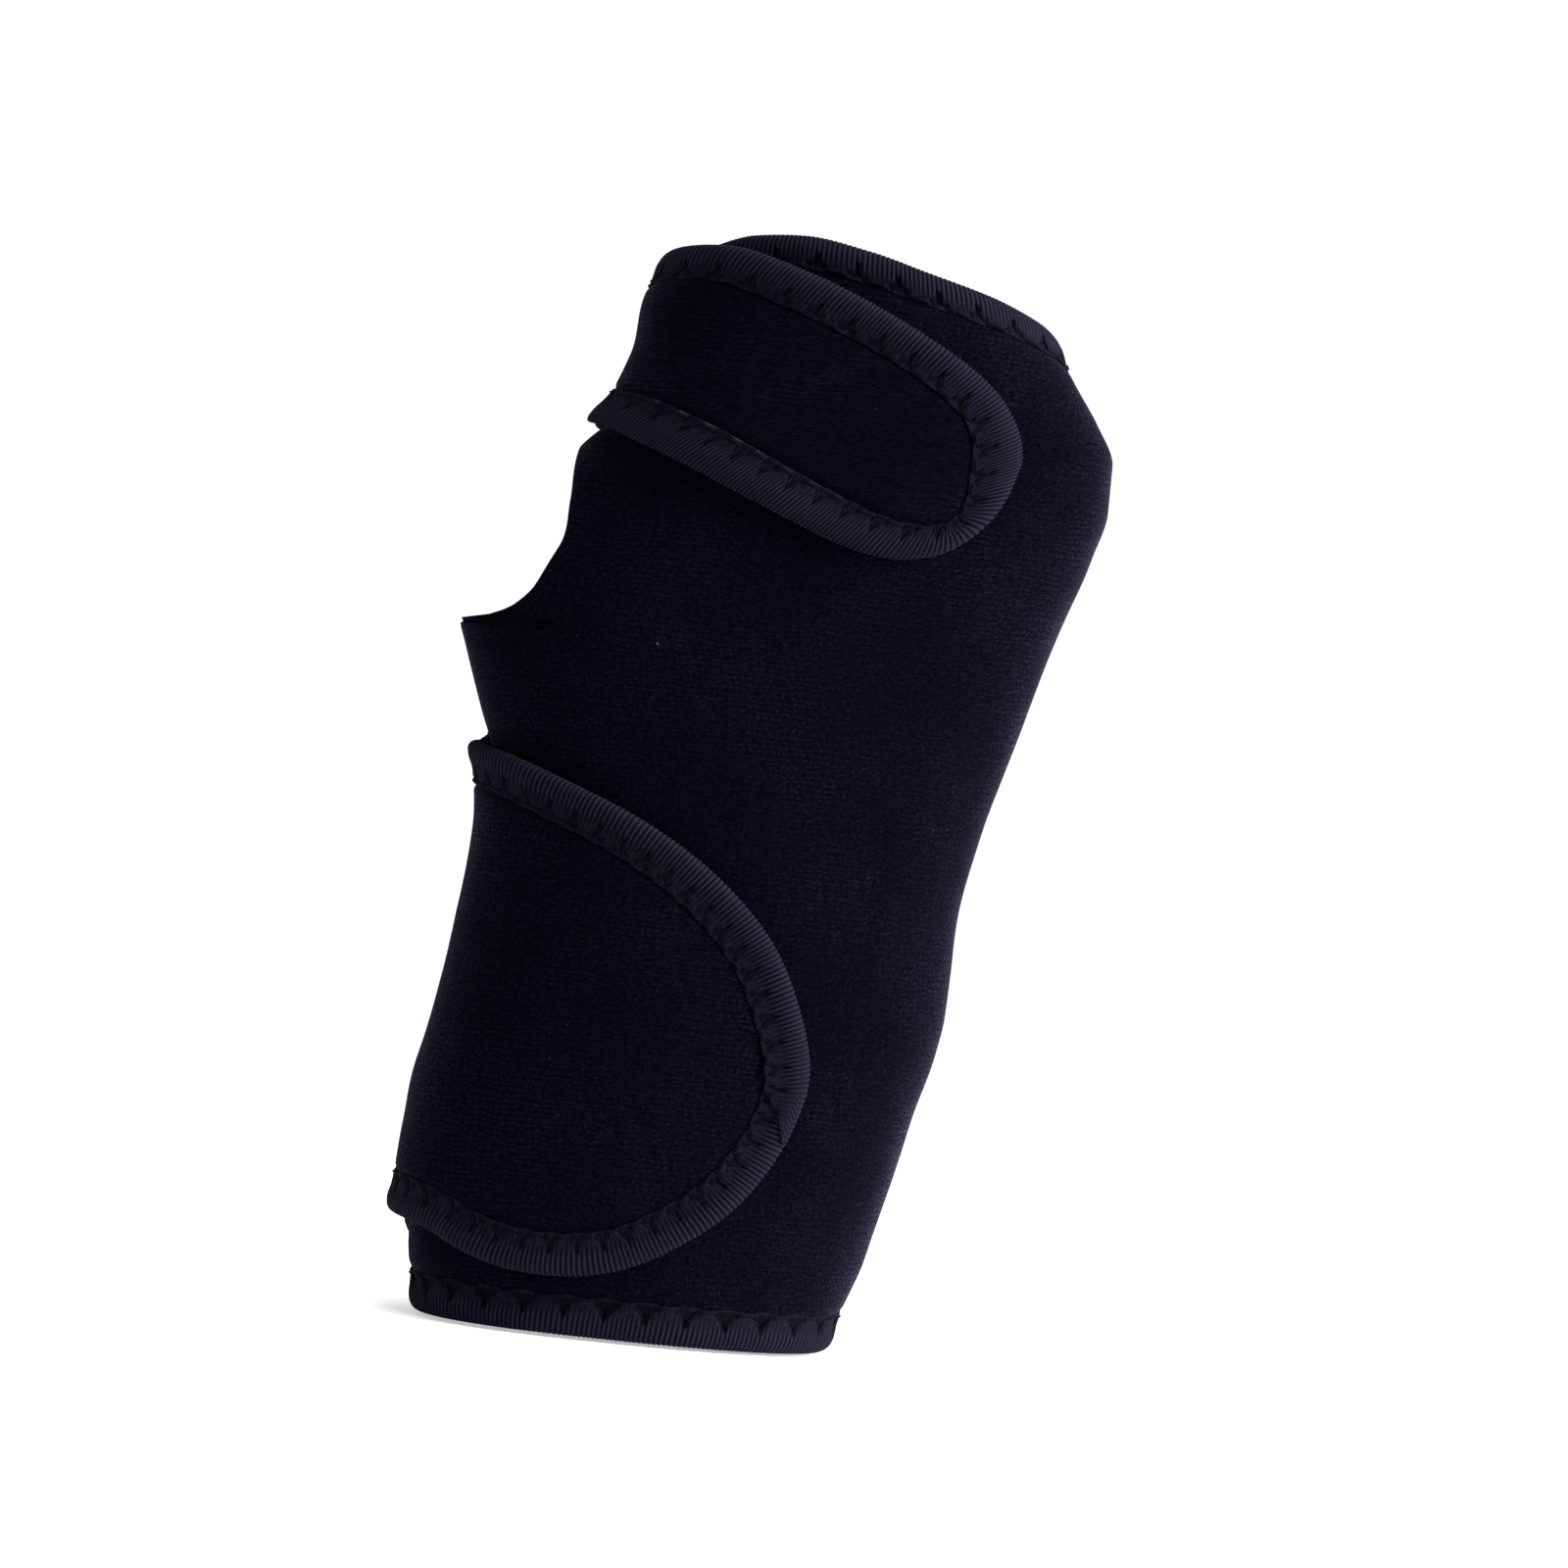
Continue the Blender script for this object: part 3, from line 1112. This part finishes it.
# ----------------------------------------------------------------------------- stay pocket
# the pocket lies on the palm; across and along are measured from the stay's foot
LEAN = np.array([math.sin(STAY_LEAN), 0.0, math.cos(STAY_LEAN)])
SIDE = np.array([math.cos(STAY_LEAN), 0.0, -math.sin(STAY_LEAN)])
FOOT = np.array([STAY_FOOT[0], 0.0, STAY_FOOT[1]])
OVER_STAY_Y = PALM_FACE + POCKET_SLACK + TIP_T + 0.35
HALF_W, POCKET_LOW, POCKET_TOP = 18.5, -8.0, 152.0
SEAM_IN, HEM_IN = 1.3, 8.2     # the seam's and the hem's distance from the edge
STITCH = 2.6


def palm_y(x, z):
    mid, half = (thumb_x(z) + little_x(z)) / 2, (little_x(z) - thumb_x(z)) / 2
    centre, depth = (back_y(z) + PALM_FACE) / 2, (PALM_FACE - back_y(z)) / 2
    out = np.clip(np.abs((x - mid) / half), 0, 0.98)
    return centre + depth * (1 - out ** roundness(z)) ** (1 / roundness(z))


def stay_plane(across, along):
    return FOOT + across[..., None] * SIDE + along[..., None] * LEAN


def on_palm(across, along, off):
    points = stay_plane(across, along)
    points[..., 1] = palm_y(points[..., 0], points[..., 2]) + off
    return points


def pocket_shape(across, along):
    """Heights that make up the cover: its underside, ripple, hem and dome."""
    rise = ease(np.abs(across), 17.3, 11.0) * ease(along, -7.3, -1.5)
    points = stay_plane(across, along)
    over = np.maximum(OVER_STAY_Y - palm_y(points[..., 0], points[..., 2]), 0.12)
    ripple = (0.16 * noise3(points, 7.0) * (0.35 + rise)
              + (0.30 + 0.50 * noise3(points * [1, 1, 0.6], 17.0)) * rise)
    hem = 0.45 * ease(along, POCKET_TOP - 9.5, POCKET_TOP - 8.6)
    dome = 0.9 * (1 - (across / HALF_W) ** 2) * ease(along, -7.3, 6.0)
    return 0.12 + (over - 0.12) * rise, ripple, hem, dome


def edged(low, high, count):
    """Even lines from low to high, with closer ones at both ends."""
    return np.concatenate([[low, low + 0.12, low + 0.4], np.linspace(low + 0.9, high - 0.9, count),
                           [high - 0.4, high - 0.12, high]])


def pocket_cover():
    along, across = np.meshgrid(edged(POCKET_LOW, POCKET_TOP, 190), edged(-HALF_W, HALF_W, 58),
                                indexing="ij")
    under, ripple, hem, dome = pocket_shape(across, along)
    from_side = HALF_W - np.abs(across)
    from_edge = np.minimum(from_side, along - POCKET_LOW)
    seam = (0.30 * np.exp(-((from_edge - SEAM_IN) / 0.55) ** 2) * (along < POCKET_TOP - 1.0))
    pucker = (0.10 * np.cos(2 * math.pi * along / STITCH)
              * np.exp(-((from_side - 2.2) / 1.2) ** 2))
    hem_seam = 0.3 * np.exp(-((along - (POCKET_TOP - HEM_IN)) / 0.5) ** 2)
    row, col = np.indices(along.shape)
    lines_in = np.minimum(np.minimum(row, len(along) - 1 - row),
                          np.minimum(col, along.shape[1] - 1 - col))
    drop = edge_drop(lines_in, [0.75, 0.28, 0.06]) * 0.55
    outer = under + POCKET_T + ripple + pucker + hem + dome - seam - hem_seam - drop
    inner = under + drop * 0.4 + ripple * 0.6 + dome * 0.8
    return closed_sheet("pocket_cover", on_palm(across, along, outer),
                        on_palm(across, along, inner),
                        np.stack([across, along, np.zeros_like(across)], -1), [JERSEY] * 3)


def pocket_thread(name, across, along, travel, sink, node=None):
    """Running stitches on the cover, sunk into its face; travel is the length sewn."""
    under, ripple, hem, dome = pocket_shape(across, along)
    bob = 0.16 * np.abs(np.sin(math.pi * travel / STITCH)) ** 0.7
    height = under + POCKET_T + ripple + hem + dome - sink + bob
    ride_wrap(tube(name, on_palm(across, along, height), 0.2), node)


def pocket_threads():
    side, low, high = HALF_W - SEAM_IN, POCKET_LOW + SEAM_IN, POCKET_TOP - 1.0
    seam = np.concatenate([
        np.stack([np.full(600, -side), np.linspace(high, low, 600)], 1),
        np.stack([np.linspace(-side, side, 150)[1:-1], np.full(148, low)], 1),
        np.stack([np.full(600, side), np.linspace(low, high, 600)], 1)])
    dist = distances(seam)
    travel = np.arange(0, dist[-1], 0.32)
    pocket_thread("pocket_thread", *sample(travel, dist, seam).T, travel, 0.30,
                  "stay_pocket_stitching")
    across = np.linspace(-side, side, 260)
    pocket_thread("pocket_hem_thread", across, np.full_like(across, POCKET_TOP - HEM_IN),
                  across, 0.22)


ride_wrap(pocket_cover(), "stay_pocket")
pocket_threads()

# ----------------------------------------------------------------------------- stay
for node, mat, width in (("palmar_stay", METAL, 0.0005), ("stay_tip_distal", VINYL, 0.00035),
                         ("stay_tip_proximal", VINYL, 0.00035)):
    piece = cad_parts[node]
    piece.data.materials.clear()
    piece.data.materials.append(mat)
    piece.data.polygons.foreach_set("use_smooth", np.ones(len(piece.data.polygons), bool))
    weld = piece.modifiers.new("join", "WELD")
    weld.merge_threshold = 0.00001
    bevel = piece.modifiers.new("eased", "BEVEL")
    bevel.width, bevel.segments = width, 2
    bevel.limit_method, bevel.angle_limit = "ANGLE", math.radians(25)
    bevel.harden_normals = False
    piece.modifiers.new("even", "WEIGHTED_NORMAL").keep_sharp = False


# ----------------------------------------------------------------------------- floor (metres)
def floor_material(colour=(0.93, 0.93, 0.935), glow=0.42):
    """Pale, faintly glowing floor; away from the object it only glows."""
    mat = Nodes("pale_floor")
    place = mat.place()
    patch = mat.span(mat.noise(place, scale=3.0), over=(0.3, 0.7))
    base = mat.blend(patch, tuple(x * 0.995 for x in colour), colour)
    seen = mat.new("ShaderNodeLightPath").outputs["Is Camera Ray"]
    mat.set(Base_Color=base, Roughness=0.9, Specular_IOR_Level=0.1,
            Emission_Color=(1.0, 1.0, 1.0),
            Emission_Strength=mat.times_add(seen, by=glow * 0.85, add=glow * 0.15))
    x, y, _ = mat.split(place)
    radius = mat.math("SQRT", mat.math("ADD", mat.times(x, x), mat.times(y, y)))
    far = mat.new("ShaderNodeEmission", {"Color": (0.97, 0.975, 1.0),
                                         "Strength": mat.times_add(seen, by=0.75, add=0.32)})
    mixed = mat.new("ShaderNodeMixShader", {0: mat.span(radius, over=(0.30, 0.62)),
                                            1: mat.shader.outputs[0], 2: far.outputs[0]})
    mat.put(mixed.outputs[0], mat.tree.nodes["Material Output"].inputs["Surface"])
    return mat.material


def studio_floor(flat=1.6, bend=1.3, high=4.5, around=96, drop=0.0006):
    """A round floor that curves up on every side without an edge."""
    profile = [(0.25, 0.0), (0.8, 0.0), (flat, 0.0)]
    profile += [(flat + bend * math.sin(angle), bend - bend * math.cos(angle))
                for angle in np.linspace(0, math.pi / 2, 24)[1:]]
    profile += [(flat + bend, high)]
    angles = [2 * math.pi * k / around for k in range(around)]
    verts = [(0.0, 0.0, -drop)]
    verts += [(radius * math.cos(angle), radius * math.sin(angle), z - drop)
              for radius, z in profile for angle in angles]
    faces = [(0, 1 + k, 1 + (k + 1) % around) for k in range(around)]
    for i in range(len(profile) - 1):
        base = 1 + i * around
        for k in range(around):
            j = (k + 1) % around
            faces.append((base + k, base + around + k, base + around + j, base + j))
    mesh = bpy.data.meshes.new("studio_floor")
    mesh.from_pydata(verts, [], faces)
    mesh.polygons.foreach_set("use_smooth", [True] * len(faces))
    piece = bpy.data.objects.new("studio_floor", mesh)
    bpy.context.scene.collection.objects.link(piece)
    mesh.materials.append(floor_material())


studio_floor()


# ----------------------------------------------------------------------------- light, camera
def area(name, at, size, watts, colour=(1, 1, 1), target=(0, 0, 0.1)):
    lamp = bpy.data.lights.new(name, "AREA")
    lamp.shape, lamp.energy, lamp.color = "RECTANGLE", watts, colour
    lamp.size, lamp.size_y = size
    holder = bpy.data.objects.new(name, lamp)
    holder.location = at
    holder.rotation_mode = "QUATERNION"
    holder.rotation_quaternion = (Vector(target) - Vector(at)).to_track_quat("-Z", "Y")
    holder.visible_camera = False
    bpy.context.scene.collection.objects.link(holder)


area("soft_right", at=(1.0, -0.28, 0.42), size=(0.8, 1.0), watts=68, colour=(0.97, 0.97, 1.0))
area("soft_left", at=(-0.95, -0.25, 0.35), size=(0.7, 0.9), watts=4, colour=(0.98, 0.98, 1.0))
area("soft_top", at=(0.15, -0.34, 1.22), size=(0.9, 0.7), watts=15)

scene = bpy.context.scene
studio = bpy.data.worlds.new("studio")
studio.use_nodes = True
background = studio.node_tree.nodes["Background"]
background.inputs["Color"].default_value = (0.95, 0.96, 1.0, 1.0)
background.inputs["Strength"].default_value = 0.6
scene.world = studio
scene.view_settings.view_transform = "Standard"
scene.view_settings.look = "None"
scene.view_settings.exposure = 0.0
scene.view_settings.gamma = 1.0

# the camera looks along +y at the back of the hand, rolled a little
ROLL = math.radians(6.0)
AIM = Vector((0.00531, -0.012, 0.09908))
DISTANCE, VIEW_W, SENSOR_W = 1.25, 0.2752, 36.0
cam_data = bpy.data.cameras.new("camera")
cam_data.sensor_width = SENSOR_W
cam_data.lens = SENSOR_W * DISTANCE / VIEW_W
cam_data.clip_start, cam_data.clip_end = 0.05, 30.0
cam = bpy.data.objects.new("camera", cam_data)
scene.collection.objects.link(cam)
right = Vector((math.cos(ROLL), 0.0, math.sin(ROLL)))
upward = Vector((-math.sin(ROLL), 0.0, math.cos(ROLL)))
back = right.cross(upward)
cam.matrix_world = Matrix((right, upward, back)).transposed().to_4x4()
cam.location = AIM + back * DISTANCE
scene.camera = cam
